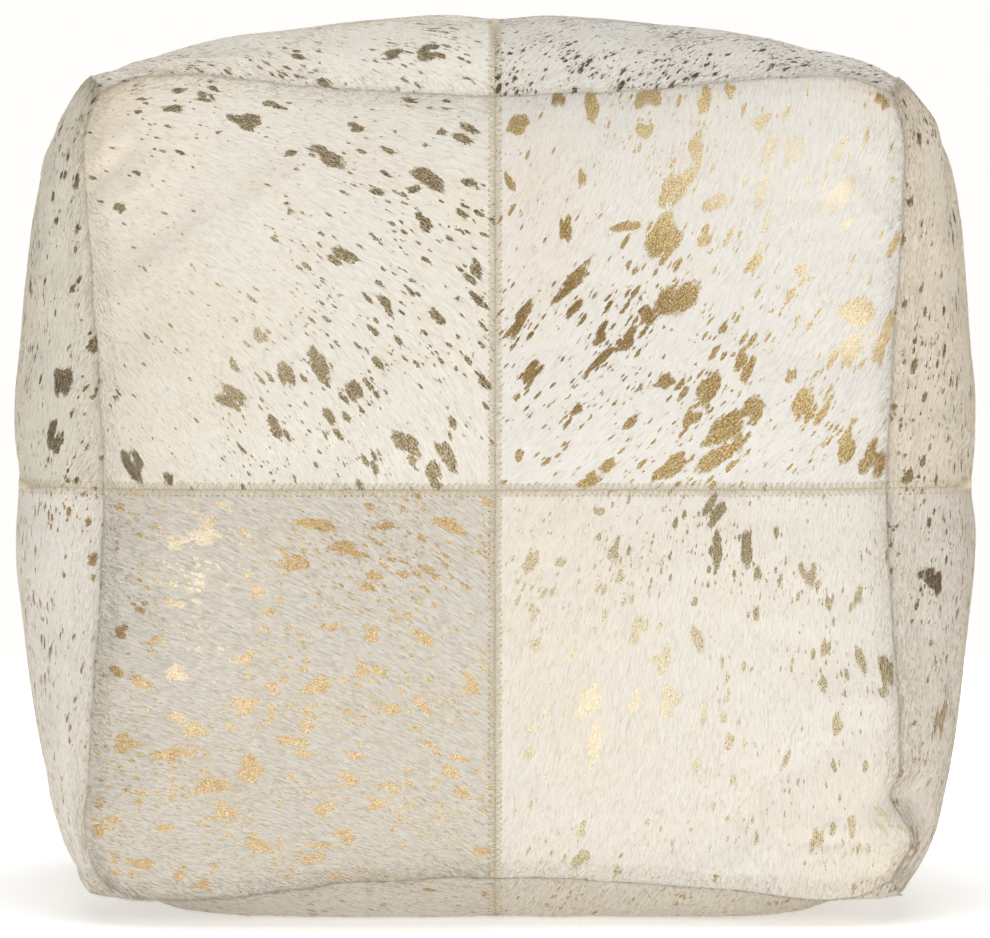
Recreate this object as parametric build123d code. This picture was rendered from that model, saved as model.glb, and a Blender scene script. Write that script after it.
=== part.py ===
from build123d import *

import math
import os

import numpy as np

# A cube-shaped pouf: six puffed faces, each of four hair-on hide patches, over an inner bag of beads.
# Millimetres, +Z up. The origin is on the floor under the middle, the front face looks along -Y.

# Cover shape. A face is a dome over a panel whose edges bow inwards between the cube's corners.
EDGE_MIDDLE = 196.0  # from the cube's centre to the middle of an edge, along either face's axis
CORNER = 205.0  # the same at a corner
CENTRE_HEIGHT = 218.0  # of the cube's centre above the floor
BULGES = {"front": 55.0, "back": 55.0, "left": 58.0, "right": 58.0, "top": 51.0, "base": 60.0}

# Layers, from the outside in.
HIDE_THICKNESS = 3.0  # leather with its short hair
BACKING_GAP = 0.3
BACKING_THICKNESS = 1.0
WELT_DEPTH = 7.5  # how far a turned seam allowance stands inwards
WELT_PLY = 1.5
WELT_GAP = 0.4  # between the backing and the allowance behind it
WELT_SPLIT = 0.2  # between the two plies
WELT_SPAN = 0.95  # share of a cube edge that the allowance runs along
BACKING_SPAN = 0.99  # share of a panel that the backing covers
BAG_CENTRE_DEPTH = 8.0
BAG_EDGE_DEPTH = 16.0
BAG_THICKNESS = 0.8
FILL_GAP = 0.2

# Seams.
PATCH_GAP = 0.2  # between two patches that butt together
EDGE_GAP = 0.3  # between two faces at a cube edge
STITCH_WIDTH = 6.0
STITCH_THICKNESS = 0.3
STITCH_GAP = 0.05  # between the thread and the hide
STITCH_BREAK = 0.2  # between the lengths of thread that meet in a face's middle
STITCH_END = 0.985  # share of the panel's half width that the zigzag covers
BASE_STITCH_LENGTH = 150.0  # of each zigzag on the base, which lies in a groove
BASE_STITCH_START = 7.0
GROOVE_MARGIN = 0.5  # beside and above that zigzag
GROOVE_FLOOR = 0.1  # how far it stays off the floor

# Zip across the base, along X, recessed above the floor.
SLOT_HALF_WIDTH = 6.0
TAPE_LENGTH = 312.0
TAPE_WIDTH = 13.0
TAPE_EDGE = 0.9  # from the zip's middle to a tape's inner edge
TAPE_THICKNESS = 0.8
TAPE_BOTTOM = 4.5
COIL_LENGTH = 296.0
COIL_WIDTH = 2.2
COIL_HEIGHT = 1.4
COIL_SPACE = 1.0  # open width between the two coils
COIL_ROUNDING = 0.5
SLIDER_LENGTH = 11.0
SLIDER_WIDTH = 8.0
SLIDER_ROUNDING = 2.5
SLIDER_REST = 138.0  # the slider's place along X with the zip closed
WING_THICKNESS = 0.7
WING_CLEARANCE = 0.4
NECK_WIDTH = 0.4
NECK_LENGTH = 2.6
NECK_SETBACK = 0.6  # from the slider's nose
FLANGE_WIDTH = 0.7
FLANGE_LENGTH = 5.8
FLANGE_SHARE = 0.6  # of the coil's height
BRIDGE_DROP = 1.6  # of the bridge's lowest face under the outer wing
BRIDGE_BAR = 0.5
BRIDGE_HALF = 2.0  # from the bridge's middle to its posts
BRIDGE_POST = 0.6
BRIDGE_WIDTH = 1.2
PULL_LENGTH = 21.0
PULL_WIDTH = 6.0
PULL_THICKNESS = 0.5
PULL_ROUNDING = 1.5
PULL_CROSSBAR = 0.3  # half the width of the bar that turns in the bridge
PULL_TAIL = 1.2  # how far the tab reaches behind that bar
PULL_WINDOW = (4.4, 3.6)
GRIP_HOLE = (3.2, 2.4)
GRIP_HOLE_PLACE = 15.6  # from the hinge to the middle of the grip hole
STOP_LENGTH = 2.0
STOP_GAP = 0.1  # between a stop and the end of the coil
STOP_MARGIN = 0.3  # a stop is this much higher than the coil
STOP_SETBACK = 0.05  # under the tape

# Each face's own frame: two directions in the panel, then its outward normal.
FACES = {
    "front": ((1, 0, 0), (0, 0, 1), (0, -1, 0)),
    "back": ((-1, 0, 0), (0, 0, 1), (0, 1, 0)),
    "left": ((0, -1, 0), (0, 0, 1), (-1, 0, 0)),
    "right": ((0, 1, 0), (0, 0, 1), (1, 0, 0)),
    "top": ((1, 0, 0), (0, 1, 0), (0, 0, 1)),
    "base": ((1, 0, 0), (0, -1, 0), (0, 0, -1)),
}
# The four patches of a face, by the signs of their two panel directions.
UPRIGHT_PATCHES = {"upper_left": (-1, 1), "upper_right": (1, 1), "lower_left": (-1, -1), "lower_right": (1, -1)}
TOP_PATCHES = {"rear_left": (-1, 1), "rear_right": (1, 1), "front_left": (-1, -1), "front_right": (1, -1)}
BASE_PATCHES = {"front_left": (-1, 1), "front_right": (1, 1), "rear_left": (-1, -1), "rear_right": (1, -1)}
# The cube edges: the two faces that each one joins.
EDGES = [
    ("top", "front"), ("top", "back"), ("top", "left"), ("top", "right"),
    ("base", "front"), ("base", "back"), ("base", "left"), ("base", "right"),
    ("front", "left"), ("front", "right"), ("back", "left"), ("back", "right"),
]

DEGREE = 8  # of the dome in each panel direction
ROUNDNESS = 0.4  # share of the dome's height that falls off evenly; the rest drops close to the seams
BASE_BLOCK_DEPTH = 60.0  # thickness of the working blocks that the base's layers are cut from
CORE_MARGIN = 0.5  # how far a cutting block reaches past the layer that it cuts
MM = 1 / EDGE_MIDDLE  # one millimetre as a share of a panel's half width


def crown(t):
    """The dome's section: 1 in the middle of the panel, 0 at its edge, steepest there."""
    return 1 - ROUNDNESS * t**2 - (1 - ROUNDNESS) * t**DEGREE


def dome_point(face, u, v, edge_depth, centre_depth):
    """A point of a face's dome. u and v run from -1 to 1 across the panel; the depths sink it under the cover."""
    edge = EDGE_MIDDLE - edge_depth * math.sqrt(0.5)
    corner = CORNER - edge_depth
    bulge = EDGE_MIDDLE + BULGES[face] - centre_depth - edge
    bow = corner - edge
    along_u = u * (edge + bow * v**2)
    along_v = v * (edge + bow * u**2)
    outward = edge + bow * u**2 * v**2 + bulge * crown(u) * crown(v)
    a, b, n = (Vector(*direction) for direction in FACES[face])
    return a * along_u + b * along_v + n * outward + Vector(0, 0, CENTRE_HEIGHT)


def control_points(face, u_range, v_range, edge_depth, centre_depth):
    """The Bezier net that is exactly the dome over one rectangle of the panel."""
    steps = [i / DEGREE for i in range(DEGREE + 1)]
    bernstein = [[math.comb(DEGREE, k) * s**k * (1 - s) ** (DEGREE - k) for k in range(DEGREE + 1)] for s in steps]
    inverse = np.linalg.inv(np.array(bernstein))
    samples = np.array(
        [
            [
                tuple(
                    dome_point(
                        face,
                        u_range[0] + s * (u_range[1] - u_range[0]),
                        v_range[0] + t * (v_range[1] - v_range[0]),
                        edge_depth,
                        centre_depth,
                    )
                )
                for t in steps
            ]
            for s in steps
        ]
    )
    return np.einsum("ai,ijc,bj->abc", inverse, samples, inverse)


def bezier_face(net):
    return Face.make_bezier_surface([[Vector(*map(float, point)) for point in row] for row in net])


def closed(faces):
    """The faces sewn into one solid, the right way out."""
    solid = Solid(Shell(faces))
    return solid if solid.volume > 0 else Solid(Shell([-face for face in faces]))


def cell(face, u_range, v_range, outer, inner):
    """A block between two layers of one face. outer and inner are (depth at the edge, depth at the centre)."""
    top = control_points(face, u_range, v_range, *outer)
    under = control_points(face, u_range, v_range, *inner)
    sides = [
        np.stack([top[0], under[0]]),
        np.stack([top[-1], under[-1]]),
        np.stack([top[:, 0], under[:, 0]]),
        np.stack([top[:, -1], under[:, -1]]),
    ]
    return closed([bezier_face(net) for net in (top, under, *sides)])


def pillow(edge_depth, centre_depth):
    """The whole puffed cube as one solid, sunk by the given depths."""
    whole = (-1, 1)
    return closed([bezier_face(control_points(face, whole, whole, edge_depth, centre_depth)) for face in FACES])


def above(height):
    """A large block that holds everything above a height."""
    reach = 4 * CORNER
    return Pos(0, 0, height + reach / 2) * Box(reach, reach, reach)


def slab(centre, size):
    return Pos(*centre) * Box(*size)


def layer(face, u_range, v_range, outer_depth, inner_depth):
    """A sheet of one face between two depths. On the base it is pressed flat against the floor."""
    if face != "base":
        return cell(face, u_range, v_range, (outer_depth,) * 2, (inner_depth,) * 2)
    margin = CORE_MARGIN * MM
    wider_u = (u_range[0] - margin, u_range[1] + margin)
    wider_v = (v_range[0] - margin, v_range[1] + margin)
    block_end = (outer_depth + BASE_BLOCK_DEPTH,) * 2
    core_end = (inner_depth + 1.5 * BASE_BLOCK_DEPTH,) * 2
    block = cell(face, u_range, v_range, (outer_depth,) * 2, block_end) & above(outer_depth)
    core = cell(face, wider_u, wider_v, (inner_depth,) * 2, core_end) & above(inner_depth)
    return block - core


def half_range(sign, start, end):
    return (start, end) if sign > 0 else (-end, -start)


def hide_patch(face, signs):
    """One quarter of a face, from the middle seams to the cube edges."""
    end = 1 - EDGE_GAP * MM
    seam = PATCH_GAP / 2 * MM
    v_start = SLOT_HALF_WIDTH * MM if face == "base" else seam
    patch = layer(face, half_range(signs[0], seam, end), half_range(signs[1], v_start, end), 0, HIDE_THICKNESS)
    if face == "base":
        groove_width = STITCH_WIDTH + 2 * GROOVE_MARGIN
        groove_depth = GROOVE_FLOOR + STITCH_THICKNESS + GROOVE_FLOOR
        patch = patch - slab((0, 0, 0), (groove_width, 2 * CORNER, 2 * groove_depth))
    return patch


def stitching(face):
    """The thin cross of zigzag thread over the seams between a face's four patches."""
    half = STITCH_WIDTH / 2 * MM
    clear = STITCH_BREAK * MM
    if face == "base":
        size = (STITCH_WIDTH, BASE_STITCH_LENGTH, STITCH_THICKNESS)
        middle_y = BASE_STITCH_START + BASE_STITCH_LENGTH / 2
        middle_z = GROOVE_FLOOR + STITCH_THICKNESS / 2
        return Compound([slab((0, side * middle_y, middle_z), size) for side in (-1, 1)])
    outer = (-STITCH_THICKNESS - STITCH_GAP,) * 2
    inner = (-STITCH_GAP,) * 2
    across = cell(face, (-STITCH_END, STITCH_END), (-half, half), outer, inner)
    up = cell(face, (-half, half), (half + clear, STITCH_END), outer, inner)
    down = cell(face, (-half, half), (-STITCH_END, -half - clear), outer, inner)
    return Compound([across, up, down])


def backing(face):
    """The cotton panel behind a face, slit on the base for the zip."""
    depth = HIDE_THICKNESS + BACKING_GAP
    span = (-BACKING_SPAN, BACKING_SPAN)
    panel = layer(face, span, span, depth, depth + BACKING_THICKNESS)
    if face == "base":
        panel = panel - slab((0, 0, depth), (TAPE_LENGTH, 2 * SLOT_HALF_WIDTH, 4 * BACKING_THICKNESS))
    return panel


def edge_seam(first, second):
    """The two plies of seam allowance that stand inwards behind a cube edge."""
    outer = (HIDE_THICKNESS + BACKING_GAP + BACKING_THICKNESS + WELT_GAP,) * 2
    inner = (outer[0] + WELT_DEPTH,) * 2
    clear = WELT_SPLIT / 2 * MM
    ply = (1 - clear - WELT_PLY * MM, 1 - clear)
    length = (-WELT_SPAN, WELT_SPAN)
    plies = []
    for face, other in ((first, second), (second, first)):
        a, b, _ = (Vector(*direction) for direction in FACES[face])
        towards = Vector(*FACES[other][2])
        if abs(a.dot(towards)) > 0.5:
            plies.append(cell(face, half_range(a.dot(towards), *ply), length, outer, inner))
        else:
            plies.append(cell(face, length, half_range(b.dot(towards), *ply), outer, inner))
    return Compound(plies)


def inner_bag():
    """The closed cotton bag, flat where it lies on the base."""
    outside = pillow(BAG_EDGE_DEPTH, BAG_CENTRE_DEPTH) & above(BAG_CENTRE_DEPTH)
    inset = BAG_THICKNESS
    hollow = pillow(BAG_EDGE_DEPTH + inset, BAG_CENTRE_DEPTH + inset) & above(BAG_CENTRE_DEPTH + inset)
    return outside - hollow


def bead_filling():
    inset = BAG_THICKNESS + FILL_GAP
    return pillow(BAG_EDGE_DEPTH + inset, BAG_CENTRE_DEPTH + inset) & above(BAG_CENTRE_DEPTH + inset)


def zip_tape(side):
    centre = (0, side * (TAPE_EDGE + TAPE_WIDTH / 2), TAPE_BOTTOM + TAPE_THICKNESS / 2)
    return slab(centre, (TAPE_LENGTH, TAPE_WIDTH, TAPE_THICKNESS))


def zip_coil(side):
    """One row of the nylon coil, a rounded bar under the tape's edge."""
    centre = (0, side * (COIL_SPACE + COIL_WIDTH) / 2, TAPE_BOTTOM - COIL_HEIGHT / 2)
    bar = slab(centre, (COIL_LENGTH, COIL_WIDTH, COIL_HEIGHT))
    return fillet(bar.edges().filter_by(Axis.X).group_by(Axis.Z)[0], COIL_ROUNDING)


def wing(height):
    """One of the slider's two plates, with its lower face at a height."""
    plate = slab((0, 0, height + WING_THICKNESS / 2), (SLIDER_LENGTH, SLIDER_WIDTH, WING_THICKNESS))
    return fillet(plate.edges().filter_by(Axis.Z), SLIDER_ROUNDING)


def slider_levels():
    """Heights of the outer wing's and the inner wing's lower faces."""
    outer = TAPE_BOTTOM - COIL_HEIGHT - WING_CLEARANCE - WING_THICKNESS
    return outer, TAPE_BOTTOM + TAPE_THICKNESS + WING_CLEARANCE


def zip_slider():
    """Two wings joined by a neck between the coils, side flanges and the bridge that holds the pull."""
    low, high = slider_levels()
    outer_top = low + WING_THICKNESS
    neck_x = SLIDER_LENGTH / 2 - NECK_LENGTH / 2 - NECK_SETBACK
    body = wing(low) + wing(high)
    body += slab((neck_x, 0, (low + high + WING_THICKNESS) / 2), (NECK_LENGTH, NECK_WIDTH, high - low))
    flange_height = COIL_HEIGHT * FLANGE_SHARE
    flange_y = (SLIDER_WIDTH - FLANGE_WIDTH) / 2
    post_height = low + WING_THICKNESS / 2 - (low - BRIDGE_DROP)
    for side in (-1, 1):
        flange_middle = (0, side * flange_y, outer_top + flange_height / 2)
        body += slab(flange_middle, (FLANGE_LENGTH, FLANGE_WIDTH, flange_height))
        post_middle = (side * BRIDGE_HALF, 0, low - BRIDGE_DROP + post_height / 2)
        body += slab(post_middle, (BRIDGE_POST, BRIDGE_WIDTH, post_height))
    bar_length = 2 * BRIDGE_HALF + BRIDGE_POST
    body += slab((0, 0, low - BRIDGE_DROP + BRIDGE_BAR / 2), (bar_length, BRIDGE_WIDTH, BRIDGE_BAR))
    return Pos(SLIDER_REST, 0, 0) * body


def pull_height():
    """The height of the pull's hinge axis, in the middle of the bridge's opening."""
    low, _ = slider_levels()
    return low - (BRIDGE_DROP - BRIDGE_BAR) / 2


def zip_pull_tab():
    """A flat tab with a crossbar through the bridge. It lies along the zip, pointing back over the slider."""
    through = 4 * PULL_THICKNESS
    tab = slab((PULL_LENGTH / 2 - PULL_TAIL, 0, 0), (PULL_LENGTH, PULL_WIDTH, PULL_THICKNESS))
    tab = fillet(tab.edges().filter_by(Axis.Z), PULL_ROUNDING)
    window = slab((PULL_CROSSBAR + PULL_WINDOW[0] / 2, 0, 0), (*PULL_WINDOW, through))
    tail_window = slab((-PULL_CROSSBAR - PULL_TAIL, 0, 0), (2 * PULL_TAIL, 2 * PULL_WIDTH, through))
    grip_hole = slab((GRIP_HOLE_PLACE, 0, 0), (*GRIP_HOLE, through))
    return Pos(SLIDER_REST, 0, pull_height()) * (tab - window - tail_window - grip_hole)


def zip_stops():
    """The two top stops and the bottom stop, clamped round the coils' ends."""
    height = COIL_HEIGHT + STOP_MARGIN
    middle_y = (COIL_SPACE + COIL_WIDTH) / 2
    middle_z = TAPE_BOTTOM - STOP_SETBACK - height / 2
    end = COIL_LENGTH / 2 + STOP_GAP + STOP_LENGTH / 2
    top_stops = [
        slab((end, side * middle_y, middle_z), (STOP_LENGTH, COIL_WIDTH, height)) for side in (-1, 1)
    ]
    bottom_width = COIL_SPACE + 2 * COIL_WIDTH
    bottom_stop = slab((-end, 0, middle_z), (STOP_LENGTH, bottom_width, height))
    return Compound([*top_stops, bottom_stop])


def all_nodes():
    """Every piece by its name."""
    nodes = {}
    for face in FACES:
        patches = {"top": TOP_PATCHES, "base": BASE_PATCHES}.get(face, UPRIGHT_PATCHES)
        for place, signs in patches.items():
            nodes[f"hide_{face}_{place}"] = hide_patch(face, signs)
        nodes[f"stitching_{face}"] = stitching(face)
        nodes[f"backing_{face}"] = backing(face)
    for first, second in EDGES:
        nodes[f"edge_seam_{first}_{second}"] = edge_seam(first, second)
    nodes["inner_bag"] = inner_bag()
    nodes["bead_filling"] = bead_filling()
    for name, side in (("front", -1), ("rear", 1)):
        nodes[f"zip_tape_{name}"] = zip_tape(side)
        nodes[f"zip_coil_{name}"] = zip_coil(side)
    nodes["zip_slider"] = zip_slider()
    nodes["zip_pull_tab"] = zip_pull_tab()
    nodes["zip_stops"] = zip_stops()
    return nodes


os.makedirs("parts", exist_ok=True)
for name, shape in all_nodes().items():
    export_step(shape, f"parts/{name}.step")
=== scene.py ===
import math

import bpy
import numpy as np
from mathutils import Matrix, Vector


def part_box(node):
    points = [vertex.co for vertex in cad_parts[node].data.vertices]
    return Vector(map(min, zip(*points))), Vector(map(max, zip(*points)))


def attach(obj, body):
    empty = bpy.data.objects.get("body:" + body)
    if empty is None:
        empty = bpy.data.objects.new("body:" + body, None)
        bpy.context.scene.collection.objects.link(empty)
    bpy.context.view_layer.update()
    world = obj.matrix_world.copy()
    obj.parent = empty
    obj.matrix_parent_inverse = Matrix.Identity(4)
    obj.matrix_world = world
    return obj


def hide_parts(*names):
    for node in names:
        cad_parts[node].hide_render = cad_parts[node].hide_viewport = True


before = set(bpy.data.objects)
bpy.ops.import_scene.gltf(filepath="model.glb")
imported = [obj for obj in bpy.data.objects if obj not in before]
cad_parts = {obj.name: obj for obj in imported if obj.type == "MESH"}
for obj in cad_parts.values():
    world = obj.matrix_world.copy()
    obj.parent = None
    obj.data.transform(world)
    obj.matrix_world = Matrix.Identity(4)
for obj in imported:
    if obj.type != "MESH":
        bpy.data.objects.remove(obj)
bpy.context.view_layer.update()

# A puffed cube pouf of hair-on hide with gold foil speckles. Metres, +Z up, the front face looks along -Y.

# ---------------------------------------------------------------------------------------------
# Sizes, from the frame
# ---------------------------------------------------------------------------------------------

FRONT_LOW, FRONT_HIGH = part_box("hide_front_upper_right")
CENTRE = np.array([0, 0, FRONT_LOW.z])
CORNER = 0.207
EDGE = 0.1968  # the middle of a cube edge bows in
SHOULDER = 9  # how soon the panel beside an edge leaves the edge's bow
BALL = 0.342
BALL_SOFTNESS = 0.004
BASE_SAG = 0.036  # how far under the floor the base's dome would hang
REACH = {
    "front": -FRONT_LOW.y,
    "back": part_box("hide_back_upper_left")[1].y,
    "left": -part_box("hide_left_upper_left")[0].x,
    "right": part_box("hide_right_upper_left")[1].x,
    "top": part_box("hide_top_front_left")[1].z - CENTRE[2],
    "base": CENTRE[2] + BASE_SAG,
}
SLOT_HALF = -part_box("hide_base_front_left")[1].y
SLOT_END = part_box("zip_pull_tab")[1].x + 0.001  # the slot stays open past the folded pull tab

HIDE = 0.0016  # leather under the hair

# Each face's own frame: two directions in the panel, then its outward normal.
FACES = {
    "front": ((1, 0, 0), (0, 0, 1), (0, -1, 0)),
    "back": ((-1, 0, 0), (0, 0, 1), (0, 1, 0)),
    "left": ((0, -1, 0), (0, 0, 1), (-1, 0, 0)),
    "right": ((0, 1, 0), (0, 0, 1), (1, 0, 0)),
    "top": ((1, 0, 0), (0, 1, 0), (0, 0, 1)),
    "base": ((1, 0, 0), (0, -1, 0), (0, 0, -1)),
}
AXES = {face: np.array(axes, float) for face, axes in FACES.items()}
# How each dome falls off: (towards -u, towards +u), (towards -v, towards +v), and the power of its shoulder.
DOMES = {
    "front": ((0.45, 0.45), (0.5, 0.4), 9),
    "back": ((0.45, 0.4), (0.5, 0.45), 9),
    "left": ((0.45, 0.45), (0.62, 0.42), 12),
    "right": ((0.45, 0.45), (0.5, 0.36), 12),
    "top": ((0.56, 0.58), (0.45, 0.45), 10),
    "base": ((0.6, 0.6), (0.6, 0.6), 4),
}


# ---------------------------------------------------------------------------------------------
# The skin's shape
# ---------------------------------------------------------------------------------------------

def crown(t, falls, power):
    """A dome's section across its panel: 1 in the middle, 0 at the seams."""
    fall = np.where(t < 0, falls[0], falls[1])
    return 1 - fall * t**2 - (1 - fall) * np.abs(t) ** power


CORNER_PINCH = -0.156  # height of the pinch in the front's lower right edge, from the middle
CORNER_SWELL = -0.176


def bowed(t):
    """How an edge leaves its middle: 0 there, 1 at the corners, flat as it nears them."""
    return 1 - (1 - t**2) ** 3


def dome(face, u, v, puff=1.0):
    """Points of a face's dome for arrays u and v from -1 to 1, about the cube's centre."""
    across, up, power = DOMES[face]
    bow = CORNER - EDGE
    by_u, by_v = np.abs(u) ** SHOULDER, np.abs(v) ** SHOULDER
    out = EDGE + bow * (bowed(v) * by_u + bowed(u) * by_v - by_u * by_v)
    out = out + puff * (REACH[face] - EDGE) * crown(u, across, power) * crown(v, up, power)
    a, b, n = AXES[face]
    along_u = u * (EDGE + bow * bowed(v))
    along_v = v * (EDGE + bow * bowed(u))
    return along_u[..., None] * a + along_v[..., None] * b + out[..., None] * n


def round_corners(points):
    """The stuffing can't fill a corner, so nothing reaches much past a ball's radius from the middle."""
    radius = np.linalg.norm(points, axis=-1, keepdims=True)
    drawn_in = BALL_SOFTNESS * np.logaddexp(0, (radius - BALL) / BALL_SOFTNESS)
    return points * (1 - drawn_in / radius)


def corner_fold(points):
    """The front face's lower right corner: the edge is pinched in, and swells out under the pinch."""
    x, y, z = np.moveaxis(points, -1, 0)
    near = np.exp(-(((x - EDGE) ** 2 + (y + EDGE) ** 2) / 0.018**2))
    push = np.exp(-(((z - CORNER_PINCH) / 0.010) ** 2))
    swell = np.exp(-(((z - CORNER_SWELL) / 0.010) ** 2))
    shift = np.stack([-0.009 * push + 0.004 * swell, 0.004 * push - 0.001 * swell, 0.002 * push], -1)
    return points + near[..., None] * shift


def crease(points, middle, angle, length, width, depth):
    """How far a soft crease on the front moves points out: a dent along a line, with a swelling over it."""
    dx, dz = points[..., 0] - middle[0], points[..., 2] - middle[1]
    c, s = math.cos(math.radians(angle)), math.sin(math.radians(angle))
    along, across = (dx * c + dz * s) / length, (dz * c - dx * s) / width
    dent = -depth * np.exp(-(across**2)) + 0.6 * depth * np.exp(-((across - 1.7) ** 2))
    return dent * np.exp(-(along**2)) * (points[..., 1] < 0)


# Each crease on the front face: its middle (x, z), angle, length, width and depth.
FRONT_CREASES = (
    ((-0.190, 0.160), 42, 0.018, 0.0050, 0.0030),
    ((-0.176, 0.142), 30, 0.016, 0.0045, 0.0012),
    ((0.172, -0.176), -2, 0.024, 0.0045, 0.0020),
    ((0.193, -0.146), 62, 0.012, 0.0020, 0.0014),
    ((0.187, -0.149), 60, 0.011, 0.0018, 0.0012),
    ((0.060, 0.100), -8, 0.045, 0.0060, 0.0008),
    ((0.150, -0.075), -4, 0.040, 0.0070, 0.0009),
)


def creased(points):
    out = sum(crease(points, *line) for line in FRONT_CREASES)
    return points - out[..., None] * np.array([0, 1, 0])


def rest_on_floor(points):
    """Flattens what would sink into the floor, with a soft turn."""
    softness = 0.0012
    z = points[..., 2] + CENTRE[2]
    pressed = 0.5 * (z + np.sqrt(z**2 + softness**2))
    return np.concatenate([points[..., :2], pressed[..., None]], -1)


def cubic_weights(at, count):
    """Matrix that reads an evenly spaced row of count values at places from 0 to 1, along smooth cubics."""
    place = np.clip(at, 0, 1) * (count - 1)
    first = np.minimum(place.astype(int), count - 2)
    t = place - first
    weights = np.zeros((len(at), count))
    shares = (
        (-1, -0.5 * t + t**2 - 0.5 * t**3),
        (0, 1 - 2.5 * t**2 + 1.5 * t**3),
        (1, 0.5 * t + 2 * t**2 - 1.5 * t**3),
        (2, -0.5 * t**2 + 0.5 * t**3),
    )
    for offset, share in shares:
        np.add.at(weights, (np.arange(len(at)), np.clip(first + offset, 0, count - 1)), share)
    return weights


# ---------------------------------------------------------------------------------------------
# Cloth simulation of the cover
# ---------------------------------------------------------------------------------------------

CLOTH_CELLS = 52
CLOTH_FRAMES = 18
CLOTH_NOISE = 0.0012
WRINKLE_SHARE = 0.75
WRINKLE_CAP = 0.0045
SEAM_CALM = 0.75  # the backing holds a face's middle seams flat
CLOTH = dict(
    quality=6, mass=0.3, tension_stiffness=25, compression_stiffness=25, shear_stiffness=8,
    bending_stiffness=0.4, air_damping=4, use_pressure=True, uniform_pressure_force=4,
    vertex_group_shrink="seams", shrink_min=-0.04, shrink_max=0.02,
)


def cube_grid(cells, puff):
    """The whole skin as one closed mesh: points, quads and each face's grid of point numbers."""
    t = np.linspace(-1, 1, cells + 1)
    u, v = np.meshgrid(t, t, indexing="ij")
    points = np.concatenate([dome(face, u, v, puff).reshape(-1, 3) for face in FACES])
    _, first, number = np.unique(np.round(points, 6), axis=0, return_index=True, return_inverse=True)
    number = number.reshape(len(FACES), cells + 1, cells + 1)
    quads = [
        np.stack([g[:-1, :-1], g[1:, :-1], g[1:, 1:], g[:-1, 1:]], -1).reshape(-1, 4) for g in number
    ]
    return points[first], np.concatenate(quads), dict(zip(FACES, number))


def mesh_object(name, points, polygons, smooth=True):
    """An object from arrays. polygons is one array, or a list whose first array is smooth."""
    groups = polygons if isinstance(polygons, list) else [polygons]
    mesh = bpy.data.meshes.new(name)
    mesh.vertices.add(len(points))
    mesh.vertices.foreach_set("co", np.asarray(points, np.float32).ravel())
    loops = np.concatenate([g.ravel() for g in groups])
    sizes = np.concatenate([np.full(len(g), g.shape[1]) for g in groups])
    mesh.loops.add(len(loops))
    mesh.loops.foreach_set("vertex_index", loops.astype(np.int32))
    mesh.polygons.add(len(sizes))
    starts = np.concatenate([[0], np.cumsum(sizes)[:-1]])
    mesh.polygons.foreach_set("loop_start", starts.astype(np.int32))
    mesh.polygons.foreach_set("use_smooth", np.arange(len(sizes)) < len(groups[0]) * smooth)
    mesh.update(calc_edges=True)
    mesh.validate()
    piece = bpy.data.objects.new(name, mesh)
    bpy.context.scene.collection.objects.link(piece)
    return piece


def smoothed(values, edges, rounds):
    """Values spread along the mesh's edges, which leaves only their slow changes."""
    count = np.bincount(edges.ravel(), minlength=len(values))[:, None]
    for _ in range(rounds):
        total = np.zeros_like(values)
        np.add.at(total, edges[:, 0], values[edges[:, 1]])
        np.add.at(total, edges[:, 1], values[edges[:, 0]])
        values = 0.5 * values + 0.5 * total / count
    return values


def simulated_wrinkles():
    """Each face's small wrinkles, from cloth blown up inside seams that are shorter than its panels."""
    points, quads, numbers = cube_grid(CLOTH_CELLS, 0.9)
    cover = mesh_object("cover_cloth", points, quads)
    seam_points = set()
    for grid in numbers.values():
        middle = CLOTH_CELLS // 2
        for line in (grid[0], grid[-1], grid[:, 0], grid[:, -1], grid[middle], grid[:, middle]):
            seam_points.update(int(i) for i in line)
    seams = cover.vertex_groups.new(name="seams")
    seams.add(sorted(seam_points), 1.0, "REPLACE")
    rng = np.random.default_rng(5)
    sides = np.concatenate([quads[:, :2], quads[:, 1:3], quads[:, 2:], quads[:, [3, 0]]])
    noise = smoothed(rng.normal(size=(len(points), 3)), sides, 2) * CLOTH_NOISE
    cover.data.vertices.foreach_set("co", (points + noise).astype(np.float32).ravel())
    cloth = cover.modifiers.new("cloth", "CLOTH")
    settings = cloth.settings
    for key, value in CLOTH.items():
        setattr(settings, key, value)
    settings.effector_weights.gravity = 0
    cloth.collision_settings.use_collision = False
    cloth.collision_settings.use_self_collision = False
    cloth.point_cache.frame_start = 1
    cloth.point_cache.frame_end = CLOTH_FRAMES
    for step in range(1, CLOTH_FRAMES + 1):
        bpy.context.scene.frame_set(step)
    shown = cover.evaluated_get(bpy.context.evaluated_depsgraph_get())
    blown = np.zeros(len(points) * 3, np.float32)
    shown.data.vertices.foreach_get("co", blown)
    moved = blown.reshape(-1, 3) - points
    edges = np.zeros(len(cover.data.edges) * 2, np.int32)
    cover.data.edges.foreach_get("vertices", edges)
    edges = edges.reshape(-1, 2)
    wrinkles = WRINKLE_SHARE * (smoothed(moved, edges, 2) - smoothed(moved, edges, 40))
    length = np.linalg.norm(wrinkles, axis=1, keepdims=True) + 1e-9
    wrinkles = wrinkles / length * WRINKLE_CAP * np.tanh(length / WRINKLE_CAP)
    bpy.data.objects.remove(cover)
    bpy.context.scene.frame_set(1)
    from_seam = np.abs(np.linspace(-1, 1, CLOTH_CELLS + 1)) * EDGE
    calm = 1 - SEAM_CALM * np.exp(-((from_seam / 0.016) ** 2))
    calm = np.minimum(calm[:, None], calm[None, :])[..., None]
    return {face: wrinkles[grid] * calm for face, grid in numbers.items()}


WRINKLES = simulated_wrinkles()


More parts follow.
